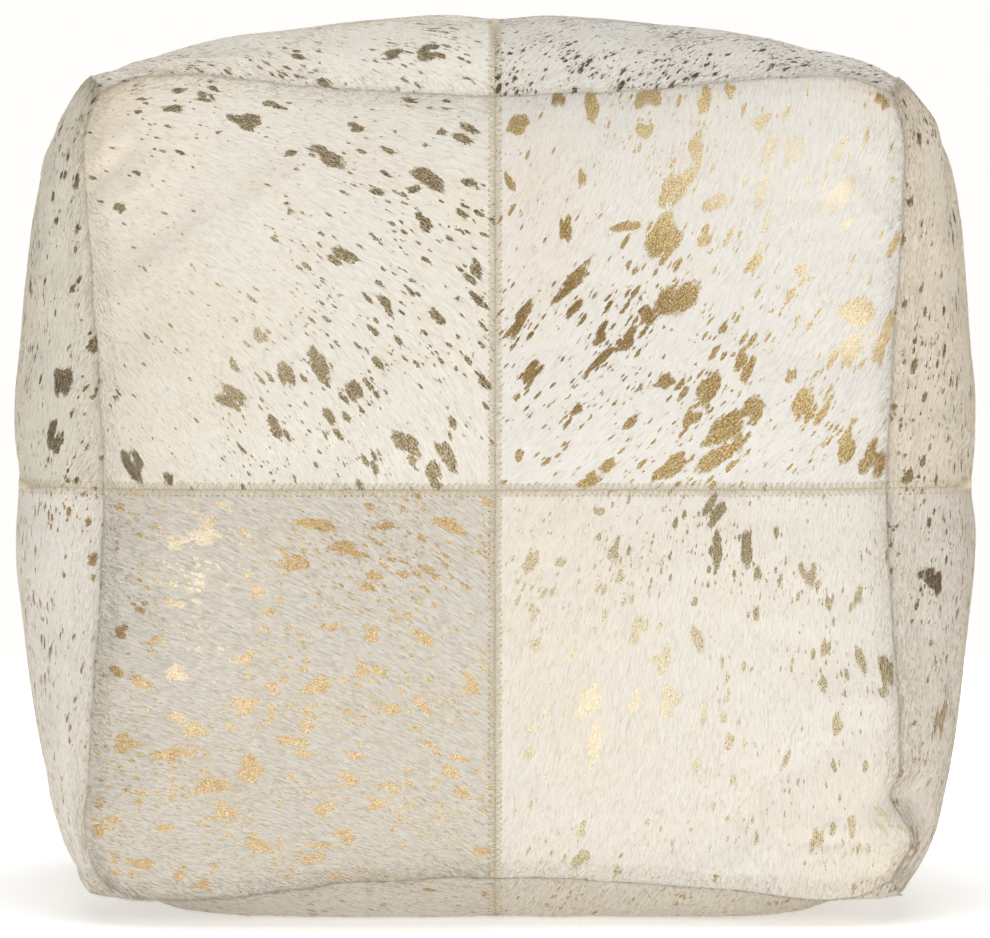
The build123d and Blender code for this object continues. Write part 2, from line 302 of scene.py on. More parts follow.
def skin(face, u, v):
    """The skin at every pair of the rows u and v: a grid of points in the row frame."""
    points = dome(face, *np.meshgrid(u, v, indexing="ij"))
    if WRINKLES:
        read_u = cubic_weights((u + 1) / 2, CLOTH_CELLS + 1)
        read_v = cubic_weights((v + 1) / 2, CLOTH_CELLS + 1)
        points = points + np.einsum("ia,abk,jb->ijk", read_u, WRINKLES[face], read_v)
    return rest_on_floor(creased(corner_fold(round_corners(points))))


def unit(vectors):
    return vectors / (np.linalg.norm(vectors, axis=-1, keepdims=True) + 1e-12)


# ---------------------------------------------------------------------------------------------
# Hide patches
# ---------------------------------------------------------------------------------------------

UPRIGHT = {"upper_left": (-1, 1), "upper_right": (1, 1), "lower_left": (-1, -1), "lower_right": (1, -1)}
TOP = {"rear_left": (-1, 1), "rear_right": (1, 1), "front_left": (-1, -1), "front_right": (1, -1)}
BASE = {"front_left": (-1, 1), "front_right": (1, 1), "rear_left": (-1, -1), "rear_right": (1, -1)}
PATCHES = {face: {"top": TOP, "base": BASE}.get(face, UPRIGHT) for face in FACES}

FINE_STEP = 0.0006  # grid spacing beside the seams
COARSE_STEP = 0.0017  # and in the open
FINE_WIDTH = 0.006
ROLL = 0.0045  # how far from a cube edge the hide turns in
ROLL_DEPTH = 0.0006
BUTT = 0.0018  # the same beside a seam between two patches
BUTT_DEPTH = 0.00012
PRESSED = 0.0034  # half the band that the zigzag presses down
PRESSED_DEPTH = 0.00015
HOLE_ROW = 0.0029  # the zigzag's holes stand this far from the seam
PITCH = 0.003


def patch_row():
    """Places from 0, the middle seam, to 1, the cube edge, close together near both."""
    fine_count = round(FINE_WIDTH / FINE_STEP)
    near = np.linspace(0, FINE_WIDTH, fine_count, endpoint=False)
    open_count = int((EDGE - 2 * FINE_WIDTH) / COARSE_STEP)
    middle = np.linspace(FINE_WIDTH, EDGE - FINE_WIDTH, open_count, endpoint=False)
    far = np.linspace(EDGE - FINE_WIDTH, EDGE, fine_count + 1)
    return np.concatenate([near, middle, far]) / EDGE


def ramp(value, start, end):
    """0 before start, 1 after end, smooth between."""
    t = np.clip((value - start) / (end - start), 0, 1)
    return t * t * (3 - 2 * t)


class Patch:
    """One hide patch's outer surface and the directions that its layers and hairs need."""

    def __init__(self, face, place, row):
        self.face = face
        self.signs = np.array(PATCHES[face][place])
        self.row_u = row if self.signs[0] > 0 else -row[::-1]
        self.row_v = row if self.signs[1] > 0 else -row[::-1]
        u, v = np.meshgrid(self.row_u, self.row_v, indexing="ij")
        self.points = skin(face, self.row_u, self.row_v)
        self.slot = np.zeros_like(u)
        if face == "base":
            self.open_slot(u, v)
        self.to_middle_u = np.abs(u) * EDGE
        self.to_middle_v = np.abs(v) * EDGE
        self.to_edge_u = (1 - np.abs(u)) * EDGE
        self.to_edge_v = (1 - np.abs(v)) * EDGE
        self.tangent_u = unit(np.gradient(self.points, axis=0))
        self.tangent_v = unit(np.gradient(self.points, axis=1))
        self.normal = unit(np.cross(self.tangent_u, self.tangent_v))
        self.inward = self.inward_directions(u, v)
        self.panel = np.stack([u * EDGE, v * EDGE], -1) * 1000

    def open_slot(self, u, v):
        """On the base, the two edges along the zip stand apart and close up beyond its ends."""
        width = (SLOT_HALF - 0.0006) * (1 - ramp(np.abs(u) * EDGE, SLOT_END, SLOT_END + 0.015))
        away = np.sign(self.signs[1]) * width * (1 - np.abs(v)) ** 2
        self.points = self.points + away[..., None] * AXES["base"][1]

    def inward_directions(self, u, v):
        """Straight in on the open panel; on a cube edge, along the plane shared with the next face."""
        a, b, n = AXES[self.face]
        share_u = 1 - ramp(self.to_edge_u, 0, ROLL)
        share_v = 1 - ramp(self.to_edge_v, 0, ROLL)
        over_u, over_v = (np.sign(u) * share_u)[..., None], (np.sign(v) * share_v)[..., None]
        diagonal = -(n + over_u * a + over_v * b)
        share = np.maximum(share_u, share_v)[..., None]
        return unit((1 - share) * -self.normal + share * unit(diagonal))

    def surface(self, depth=0.0):
        """The patch at a depth under its outer face, with its rolled, butted and pressed borders."""
        edge = np.minimum(self.to_edge_u, self.to_edge_v)
        middle = np.minimum(self.to_middle_u, self.to_middle_v)
        sink = ROLL_DEPTH * np.clip(1 - edge / ROLL, 0, 1) ** 2
        sink = sink + BUTT_DEPTH * np.clip(1 - middle / BUTT, 0, 1) ** 2
        sink = sink + PRESSED_DEPTH * (1 - ramp(middle, PRESSED * 0.6, PRESSED * 2))
        if self.face == "base":
            sink = sink * 0.4
        points = self.points + (sink + depth)[..., None] * self.inward
        points[..., 2] = np.maximum(points[..., 2], depth)
        return points


# ---------------------------------------------------------------------------------------------
# Hair lay, foil and hair
# ---------------------------------------------------------------------------------------------

PANEL = EDGE * 1000  # half a panel in millimetres


def lay_field(spec, panel):
    """Flow coordinates of the hair over a patch, in millimetres: along the hair, across it, and its angle.

    The angle changes evenly across the patch, and the two coordinates stay square to each other."""
    x = (panel[..., 0] - spec["middle"][0]) / 100
    y = (panel[..., 1] - spec["middle"][1]) / 100
    start, turn_x, turn_y = (math.radians(d) for d in spec["lay"])
    z = x + 1j * y
    slope = -turn_y - 1j * turn_x
    flow = z if abs(slope) < 1e-6 else (np.exp(slope * z) - 1) / slope
    flow = flow * np.exp(-1j * start)
    angle = start + turn_x * x + turn_y * y
    return flow.real * 100, flow.imag * 100, angle


STRANDS = 5


def strands(blotches, seed):
    """Breaks each blotch up into strands side by side, whose ends are ragged."""
    rng = np.random.default_rng(seed)
    for x, y, length, width, angle in blotches:
        c, s = math.cos(math.radians(angle)), math.sin(math.radians(angle))
        for _ in range(STRANDS):
            along, across = length * rng.uniform(-0.28, 0.28), width * rng.uniform(-0.36, 0.36)
            shape = length * rng.uniform(0.45, 0.85), width * rng.uniform(0.35, 0.6), angle + rng.normal(0, 6)
            yield x + along * c - across * s, y + along * s + across * c, *shape


def blotch_field(spec, panel):
    """Above 0 inside the large foil blotches, each (x, y, length, width, angle) in millimetres and degrees."""
    field = np.full(panel.shape[:-1], -1.0)
    for x, y, length, width, angle in strands(spec["blotches"], int(spec["seed"])):
        dx = panel[..., 0] - x
        dy = panel[..., 1] - y
        c, s = math.cos(math.radians(angle)), math.sin(math.radians(angle))
        along = (dx * c + dy * s) / (length / 2)
        across = (-dx * s + dy * c) / (width / 2)
        field = np.maximum(field, 1 - np.sqrt(along**2 + across**2))
    return field


def soft_spots(start, spots, panel):
    """A slow field from soft round spots, each (x, y, radius, amount) in millimetres."""
    field = np.full(panel.shape[:-1], float(start))
    for x, y, radius, amount in spots:
        distance = (panel[..., 0] - x) ** 2 + (panel[..., 1] - y) ** 2
        field += amount * np.exp(-distance / radius**2)
    return field


def grid_quads(rows, columns, flip=False):
    index = np.arange(rows * columns).reshape(rows, columns)
    quads = np.stack([index[:-1, :-1], index[1:, :-1], index[1:, 1:], index[:-1, 1:]], -1).reshape(-1, 4)
    return quads[:, ::-1] if flip else quads


def border(rows, columns):
    """Point numbers round a grid's rim, in order."""
    index = np.arange(rows * columns).reshape(rows, columns)
    return np.concatenate([index[:-1, 0], index[-1, :-1], index[:0:-1, -1], index[0, :0:-1]])


def thick_sheet(outer, inner):
    """Points and quads of a closed sheet between two grids of the same size."""
    rows, columns, _ = outer.shape
    count = rows * columns
    rim = border(rows, columns)
    after = np.roll(rim, -1)
    walls = np.stack([after, rim, rim + count, after + count], -1)
    points = np.concatenate([outer.reshape(-1, 3), inner.reshape(-1, 3)])
    quads = np.concatenate([grid_quads(rows, columns), grid_quads(rows, columns, True) + count, walls])
    return points, quads


def sample_grid(grid, i, j):
    """Reads a grid of values between its points, at fractional row and column numbers."""
    i0, j0 = i.astype(int), j.astype(int)
    s, t = (i - i0)[:, None], (j - j0)[:, None]
    return (
        grid[i0, j0] * (1 - s) * (1 - t)
        + grid[i0 + 1, j0] * s * (1 - t)
        + grid[i0, j0 + 1] * (1 - s) * t
        + grid[i0 + 1, j0 + 1] * s * t
    )


def hair_roots(patch, rng, count):
    """Fractional row and column numbers on the patch's grid: even over the hide, denser by its edges."""
    edge_share = 0.22
    spots = rng.random((count, 2))
    crowd = rng.random(count) < edge_share
    side = rng.integers(0, 2, count)
    near = 1 - rng.random(count) ** 1.5 * 0.05
    spots[crowd & (side == 0), 0] = near[crowd & (side == 0)]
    spots[crowd & (side == 1), 1] = near[crowd & (side == 1)]
    places = []
    for axis, row in enumerate((patch.row_u, patch.row_v)):
        target = spots[:, axis] * np.sign(patch.signs[axis])
        places.append(np.clip(np.interp(target, row, np.arange(len(row))), 0, len(row) - 1.001))
    return places


def hairs(patch, outer, lay_angle, rng, count):
    """Thin closed spikes that lie along the hair's lay: points and triangles, and each point's root place."""
    i, j = hair_roots(patch, rng, count)
    root = sample_grid(outer, i, j)
    normal = unit(sample_grid(patch.normal, i, j))
    along_u = unit(sample_grid(patch.tangent_u, i, j))
    along_v = unit(sample_grid(patch.tangent_v, i, j))
    gap_u, gap_v = sample_grid(np.stack([patch.to_edge_u, patch.to_edge_v], -1), i, j).T
    angle = sample_grid(lay_angle[..., None], i, j)[:, 0] + rng.normal(0, 0.09, count)
    direction = np.cos(angle)[:, None] * along_u + np.sin(angle)[:, None] * along_v
    over_u, over_v = np.exp(-gap_u / 0.006), np.exp(-gap_v / 0.006)
    direction += 1.1 * (patch.signs[0] * over_u * rng.random(count))[:, None] * along_u
    direction += 1.1 * (patch.signs[1] * over_v * rng.random(count))[:, None] * along_v
    direction = unit(direction)
    lift = np.radians(rng.uniform(0.5, 4, count) + 12 * np.maximum(over_u, over_v) * rng.random(count))
    length = rng.uniform(0.0018, 0.0038, count)
    width = rng.uniform(0.00005, 0.00010, count)
    side = unit(np.cross(normal, direction))
    tip = root + length[:, None] * (np.cos(lift)[:, None] * direction + np.sin(lift)[:, None] * normal)
    belly = root - 0.0003 * normal + 0.3 * (tip - root)
    points = np.stack([root - width[:, None] * side, root + width[:, None] * side, belly, tip], 1)
    points += 0.00006 * normal[:, None]
    points[..., 2] = np.maximum(points[..., 2], 0)
    base = np.arange(count)[:, None] * 4
    shape = np.array([[0, 3, 1], [1, 3, 2], [2, 3, 0], [0, 1, 2]])
    triangles = (base[:, None, :] + shape[None]).reshape(-1, 3)
    return points.reshape(-1, 3), triangles, np.repeat(np.stack([i, j], 1), 4, axis=0)


def add_attribute(piece, name, values):
    attribute = piece.data.attributes.new(name, "FLOAT_VECTOR", "POINT")
    attribute.data.foreach_set("vector", np.asarray(values, np.float32).ravel())


HAIRS_PER_PATCH = 20000
HIDDEN_SHARE = {"base": 0.25, "back": 0.8}


def hide_patch(face, place, spec, seed):
    """A hide patch as one closed sheet of leather with its hair, and the values that its material reads."""
    rng = np.random.default_rng(seed)
    patch = Patch(face, place, patch_row())
    outer = patch.surface()
    points, quads = thick_sheet(outer, patch.surface(HIDE))
    along, across, angle = lay_field(spec, patch.panel)
    edge = np.minimum(patch.to_edge_u, patch.to_edge_v) * 1000
    foil = blotch_field(spec, patch.panel)
    crowd = soft_spots(*spec["crowd"], patch.panel)
    warm = soft_spots(*spec["warmth"], patch.panel)
    # the foil's painted reflection: high where the foil is painted lighter, as if it mirrored the softboxes,
    # low where it is painted darker, as if it mirrored the dim room
    painted_reflection = soft_spots(*spec["painted_reflection"], patch.panel)
    fields = {
        "painted_reflection": np.repeat(painted_reflection[..., None], 3, axis=-1),
        "lay": np.stack([along, across, np.zeros_like(along)], -1),
        "panel": np.concatenate([patch.panel, edge[..., None]], -1),
        "foil": np.stack([foil, crowd, warm], -1),
    }
    count = int(HAIRS_PER_PATCH * HIDDEN_SHARE.get(face, 1))
    hair_points, triangles, at = hairs(patch, outer, angle, rng, count)
    tint = np.repeat(rng.normal(0, 1, count), 4)
    name = f"hide_{face}_{place}_hair"
    piece = mesh_object(name, np.concatenate([points, hair_points]), [quads, triangles + len(points)])
    for key, field in fields.items():
        on_hair = sample_grid(field, *at.T)
        if key == "lay":
            on_hair[:, 2] = tint
        add_attribute(piece, key, np.concatenate([field.reshape(-1, 3)] * 2 + [on_hair]))
    return piece


# ---------------------------------------------------------------------------------------------
# Materials
# ---------------------------------------------------------------------------------------------

class Value:
    """A number from a node's socket, so that a material's formulas read as formulas."""

    def __init__(self, nodes, socket):
        self.nodes, self.socket = nodes, socket

    def __add__(self, other):
        return self.nodes.math("ADD", self, other)

    def __sub__(self, other):
        return self.nodes.math("SUBTRACT", self, other)

    def __rsub__(self, other):
        return self.nodes.math("SUBTRACT", other, self)

    def __mul__(self, other):
        return self.nodes.math("MULTIPLY", self, other)

    def __pow__(self, power):
        return self.nodes.math("POWER", self, power)

    def __abs__(self):
        return self.nodes.math("ABSOLUTE", self)

    __radd__, __rmul__ = __add__, __mul__


class Nodes:
    """A short way to write a node material."""

    def __init__(self, name):
        self.material = bpy.data.materials.new(name)
        self.material.use_nodes = True
        self.tree = self.material.node_tree
        self.shader = self.tree.nodes["Principled BSDF"]

    def add(self, kind, **values):
        node = self.tree.nodes.new(kind)
        for key, value in values.items():
            setattr(node, key, value)
        return node

    def put(self, socket, value):
        if isinstance(value, Value):
            self.tree.links.new(value.socket, socket)
        else:
            socket.default_value = value

    def math(self, operation, a, b=0.0, clamp=False):
        node = self.add("ShaderNodeMath", operation=operation, use_clamp=clamp)
        for socket, value in zip(node.inputs, (a, b)):
            self.put(socket, value)
        return Value(self, node.outputs[0])

    def larger(self, a, b):
        return self.math("MAXIMUM", a, b)

    def place(self):
        return Value(self, self.add("ShaderNodeTexCoord").outputs["Object"])

    def split(self, vector):
        node = self.add("ShaderNodeSeparateXYZ")
        self.put(node.inputs[0], vector)
        return [Value(self, socket) for socket in node.outputs[:3]]

    def vector(self, x, y, z=0.0):
        node = self.add("ShaderNodeCombineXYZ")
        for socket, value in zip(node.inputs, (x, y, z)):
            self.put(socket, value)
        return Value(self, node.outputs[0])

    def attribute(self, name):
        """The attribute's three numbers."""
        node = self.add("ShaderNodeAttribute", attribute_type="GEOMETRY", attribute_name=name)
        return self.split(Value(self, node.outputs["Vector"]))

    def noise(self, vector, scale=1.0, detail=2.0, roughness=0.5):
        node = self.add("ShaderNodeTexNoise")
        self.put(node.inputs["Vector"], vector)
        for key, value in (("Scale", scale), ("Detail", detail), ("Roughness", roughness)):
            node.inputs[key].default_value = value
        return Value(self, node.outputs["Fac"])

    def step(self, value, low, high):
        """0 below low, 1 above high, smooth between."""
        node = self.add("ShaderNodeMapRange", interpolation_type="SMOOTHSTEP")
        self.put(node.inputs[0], value)
        self.put(node.inputs[1], low)
        self.put(node.inputs[2], high)
        return Value(self, node.outputs[0])

    def mix(self, share, first, second):
        node = self.add("ShaderNodeMix", data_type="RGBA")
        self.put(node.inputs[0], share)
        self.put(node.inputs[6], first)
        self.put(node.inputs[7], second)
        return Value(self, node.outputs[2])

    def bump(self, height, distance, strength):
        node = self.add("ShaderNodeBump")
        node.inputs["Strength"].default_value = strength
        node.inputs["Distance"].default_value = distance
        self.put(node.inputs["Height"], height)
        self.put(self.shader.inputs["Normal"], Value(self, node.outputs["Normal"]))


def srgb(code):
    """A linear colour from a screen colour such as E8E3D6."""
    channels = [int(code[i:i + 2], 16) / 255 for i in (0, 2, 4)]
    return (*[c / 12.92 if c <= 0.04045 else ((c + 0.055) / 1.055) ** 2.4 for c in channels], 1.0)


def speckles(n, along, across, size, share, seed):
    """One layer of foil speckles: above 0 inside one, in shares of a cell of the given length and width."""
    length, width = size
    cells = n.add("ShaderNodeTexVoronoi", feature="F1", voronoi_dimensions="2D")
    n.put(cells.inputs["Vector"], n.vector(along * (1 / length) + seed, across * (1 / width) + seed))
    cells.inputs["Scale"].default_value = 1.0
    cells.inputs["Randomness"].default_value = 1.0
    chance, girth, _ = n.split(Value(n, cells.outputs["Color"]))
    missing = n.math("GREATER_THAN", chance, share)
    radius = girth**3.0 * 0.34 + 0.10
    return radius - Value(n, cells.outputs["Distance"]) - missing * 3.0


def hole_row(n, across, along, stray):
    """Dark dots where the needle went through, either side of a seam, about every 3 mm."""
    from_row = abs(abs(across) + stray * 1.6 - HOLE_ROW * 1000)
    beat = n.math("FRACT", (stray * 2.2 + along) * (0.001 / PITCH)) - 0.5
    from_dot = abs(beat) * (PITCH * 1000)
    distance = n.math("SQRT", from_row**2.0 + from_dot**2.0)
    return 1.0 - n.step(distance, 0.25, 0.8)


COLOURS = ("hair", "shadow", "warm", "warm_shadow", "foil", "foil_painted_dark_reflection", "band", "stitch", "seam")
HAIR_ROUGHNESS = 0.75
HAIR_SHEEN = {"Specular IOR Level": 0.22, "Sheen Weight": 0.1, "Sheen Roughness": 0.5}
SPECKLE_LAYERS = ((1.0, 0.6), (0.55, 0.45), (0.3, 0.12))  # (size, share of the crowd)


def hide_material(name, spec):
    """Short hair lying along the patch's lay, with foil speckles that follow it."""
    n = Nodes(name)
    colour = {key: srgb(value) for key, value in spec.items() if key in COLOURS}
    along, across, tint = n.attribute("lay")
    panel_x, panel_y, edge = n.attribute("panel")
    blotch, crowd, warm = n.attribute("foil")
    # the foil's painted reflection, a slow field over the patch
    painted_reflection = n.attribute("painted_reflection")[0]
    seed = spec["seed"]

    def streaks(length, width, detail, shift):
        place = n.vector(along * (1 / length), across * (1 / width), seed + shift)
        return n.noise(place, 1.0, detail, 0.6)

    fine = streaks(3.6, 0.32, 2.0, 1.0)
    medium = streaks(9.0, 0.9, 2.0, 2.0)
    broad = streaks(40.0, 7.0, 1.0, 3.0)
    place = n.vector(panel_x, panel_y, seed * 10)
    comb = fine - 0.5
    rough = n.noise(place, 0.3, 3.0, 0.6) - 0.5

    # hair: fine streaks of light and shade, with slow warm and cool areas
    streak = fine * 0.55 + medium * 0.45 + tint * 0.035
    hair = n.mix(n.step(streak, *spec["streak"]), colour["shadow"], colour["hair"])
    warm_hair = n.mix(n.step(streak, 0.3, 0.6), colour["warm_shadow"], colour["warm"])
    slow = n.noise(place, 0.02, 3.0, 0.5) * 0.6 + broad * 0.4 - 0.5 + warm
    hair = n.mix(n.step(slow, -0.1, 0.6), hair, warm_hair)

    # foil: listed blotches and layers of speckles, all frayed along the hair
    bend = n.noise(place, 0.5, 3.0, 0.65) - 0.5
    field = (rough * 1.1 + comb * 1.4 + blotch) * 0.5
    crowd = crowd * (n.step(n.noise(place, 0.04, 2.0), 0.4, 0.62) * 1.5 + 0.25)
    for layer, (size, share) in enumerate(SPECKLE_LAYERS):
        bent = comb * (4.5 * size) + rough * (3.5 * size) + along
        sway = bend * (2.6 * size) + across
        cell = [size * side for side in spec["speckle"]]
        field = n.larger(field, speckles(n, bent, sway, cell, crowd * share, seed + layer))
    worn = n.step(medium * 0.4 + fine, spec["wear"], spec["wear"] + 0.1)
    foil = n.step(tint * 0.03 + field, -0.01, 0.05) * (1.0 - worn * 0.7)

    # the pressed band with the zigzag's holes and strokes, and the partings along the seams
    holes = n.larger(hole_row(n, panel_x, panel_y, rough), hole_row(n, panel_y, panel_x, rough))
    holes = holes * n.step(n.noise(place, 0.7, 2.0), 0.3, 0.62)
    from_x, from_y = abs(panel_x), abs(panel_y)
    middle = n.math("MINIMUM", from_x, from_y)
    band = 1.0 - n.step(comb * 3.0 + middle, 2.2, 3.6)
    upright = n.math("LESS_THAN", from_x, from_y)
    far_x, far_y = (1.0 - upright) * 2.6 + 0.25, upright * 2.6 + 0.25
    strokes = n.noise(n.vector(panel_x * far_x, panel_y * far_y, seed), 1.0, 2.0, 0.6)
    strokes = band * n.step(strokes, 0.42, 0.62)
    hair = n.mix(band * medium * 0.7, hair, colour["band"])
    hair = n.mix(strokes * 0.5, hair, colour["stitch"])
    parting = (1.0 - n.step(middle, 0.1, 0.6)) * 0.15
    # painted shade: the hair darkens within 2.4 mm of a cube edge, where the hide turns in; the seam colour
    # paints it there, as it paints the real dark of the holes and partings
    edge_painted_shade = (1.0 - n.step(edge, 0.0, 2.4)) * 0.10
    hair = n.mix(n.larger(n.larger(holes * 0.5, parting), edge_painted_shade), hair, colour["seam"])

    # the foil's colour as painted reflection: from bronze where it is painted as mirroring the dim room to
    # pale gold where it is painted as mirroring the softboxes, with a fine painted sparkle of light and dark
    # grains and painted white glints
    grain = n.noise(n.vector(along * 0.9, across * 1.7, seed), 1.0, 3.0, 0.7) - 0.5
    gold = n.mix(n.step(grain * 4.0 + painted_reflection, 0.0, 1.0), colour["foil_painted_dark_reflection"], colour["foil"])
    # painted highlights: white glints mixed into the foil's colour, more of them where its painted reflection
    # is higher
    painted_glint = painted_reflection * 0.3 + n.noise(n.vector(panel_x, panel_y, seed), 1.4, 3.0, 0.7)
    gold = n.mix(n.step(painted_glint, 0.74, 0.84) * spec["painted_glint"], gold, srgb("FFF6E0"))

    n.put(n.shader.inputs["Base Color"], n.mix(foil, hair, gold))
    n.put(n.shader.inputs["Metallic"], foil * spec["metal"])
    n.put(n.shader.inputs["Roughness"], foil * (spec["gloss"] - HAIR_ROUGHNESS) + HAIR_ROUGHNESS)
    for key, value in HAIR_SHEEN.items():
        n.shader.inputs[key].default_value = value
    height = fine * 0.25 + medium * 0.45 + foil * grain * 2.2 + holes * -0.8 + strokes * -0.5
    n.bump(height, 0.00035, 0.8)
    return n.material


# ---------------------------------------------------------------------------------------------
# What each patch looks like
# ---------------------------------------------------------------------------------------------

# lay: the hair's angle at the patch's middle, and its change per 100 mm across and up.
# crowd: how thick the small speckles stand: a start, then soft spots.
# warmth, and the foil's painted reflection: the same for the hair's warm areas, and for the light and dark
# painted into the foil where it would mirror the softboxes or the dim room.
# blotches: the larger pieces of foil, each (x, y, length, width, angle) from the middle of the face.
# In each look the foil's two colours are painted reflection: the lighter one is the foil as it would mirror
# the lit studio, the darker one is the foil as it would mirror the dim room, so each patch's pair is lighter
# or darker for where its face stands. The glint share sets how much painted white highlight the foil takes.
CREAM = dict(
    lay=(-60, 6, 8), hair="ECE8DE", shadow="DCD6C9", warm="E9DDCA", warm_shadow="DCCFB9", streak=(0.35, 0.62),
    foil="CDBA92", foil_painted_dark_reflection="6E5E46", metal=0.6, painted_glint=0.7, gloss=0.3, speckle=(10.0, 4.2),
    painted_reflection=(0.45, ()),
    crowd=(0.45, ((0, 0, 60, 0.2),)), warmth=(0.0, ()), blotches=(),
)
WHITE = dict(
    CREAM, lay=(60, 8, 12), hair="EAE6DF", shadow="DDD8CE", warm="E9DECF", warm_shadow="DDD0BE",
    foil="EED294", foil_painted_dark_reflection="8E7246", metal=0.5, painted_glint=0.9, speckle=(12.0, 3.8),
)
GREY = dict(
    CREAM, lay=(-22, -12, -4), hair="DCD6CA", shadow="B7B0A3", warm="D8CDBB", warm_shadow="B7AA95",
    streak=(0.30, 0.64), seam="4A4234", foil="EACB94", foil_painted_dark_reflection="AC8C60", metal=0.4, painted_glint=0.8,
    speckle=(8.0, 3.6),
)
IVORY = dict(
    CREAM, lay=(80, 10, -3), hair="E8E3DA", shadow="DCD6CA", warm="E7DCC9", warm_shadow="DCD0BC",
    foil="E8D9B4", foil_painted_dark_reflection="8A7855", metal=0.45, painted_glint=0.7, speckle=(9.0, 3.6),
)

